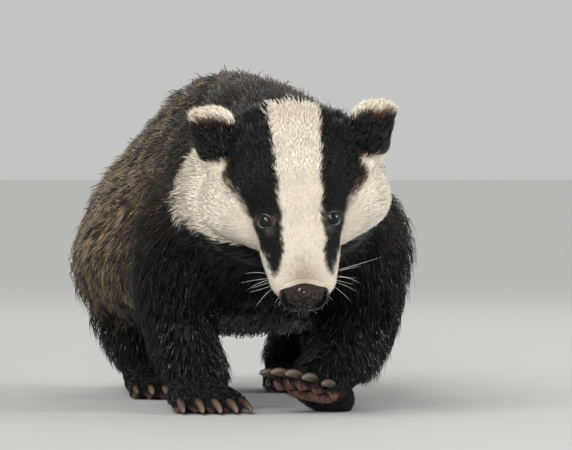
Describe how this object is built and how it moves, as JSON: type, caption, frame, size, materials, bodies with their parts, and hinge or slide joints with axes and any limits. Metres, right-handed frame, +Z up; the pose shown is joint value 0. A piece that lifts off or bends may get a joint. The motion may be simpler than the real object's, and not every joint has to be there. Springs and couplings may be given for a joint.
{
  "type": "life-size model of a european badger",
  "caption": "European badger walking with its head low: striped black and white face, grizzled long coat, short dark legs and a bushy tail.",
  "frame": {"origin": "centre of the model's bounding box in plan, at floor level under the feet", "axes": "+Z up, -Y towards the nose, +Y towards the tail, -X on the animal's right side"},
  "size_m": [0.249, 0.8268, 0.263],
  "materials": {
    "head_fur": "short dense fur in black and cream white",
    "body_fur": "long coarse grizzled guard hair",
    "leg_fur": "short black fur",
    "eye": "wet dark brown eye",
    "nose_leather": "moist black pebbled skin",
    "claw_horn": "brown horn, paler at the tips"
  },
  "bodies": {
    "root": {"claw_foreleg_left_1": "claw_horn", "claw_foreleg_left_2": "claw_horn", "claw_foreleg_left_3": "claw_horn", "claw_foreleg_left_4": "claw_horn", "claw_foreleg_left_5": "claw_horn", "claw_foreleg_right_1": "claw_horn", "claw_foreleg_right_2": "claw_horn", "claw_foreleg_right_3": "claw_horn", "claw_foreleg_right_4": "claw_horn", "claw_foreleg_right_5": "claw_horn", "claw_hindleg_left_1": "claw_horn", "claw_hindleg_left_2": "claw_horn", "claw_hindleg_left_3": "claw_horn", "claw_hindleg_left_4": "claw_horn", "claw_hindleg_left_5": "claw_horn", "claw_hindleg_right_1": "claw_horn", "claw_hindleg_right_2": "claw_horn", "claw_hindleg_right_3": "claw_horn", "claw_hindleg_right_4": "claw_horn", "claw_hindleg_right_5": "claw_horn", "ear_left": "head_fur", "ear_right": "head_fur", "eye_left": "eye", "eye_right": "eye", "foreleg_left": "leg_fur", "foreleg_right": "leg_fur", "head": "head_fur", "hindleg_left": "leg_fur", "hindleg_right": "leg_fur", "neck": "body_fur", "nose": "nose_leather", "tail": "body_fur", "torso": "body_fur"}
  },
  "joints": []
}
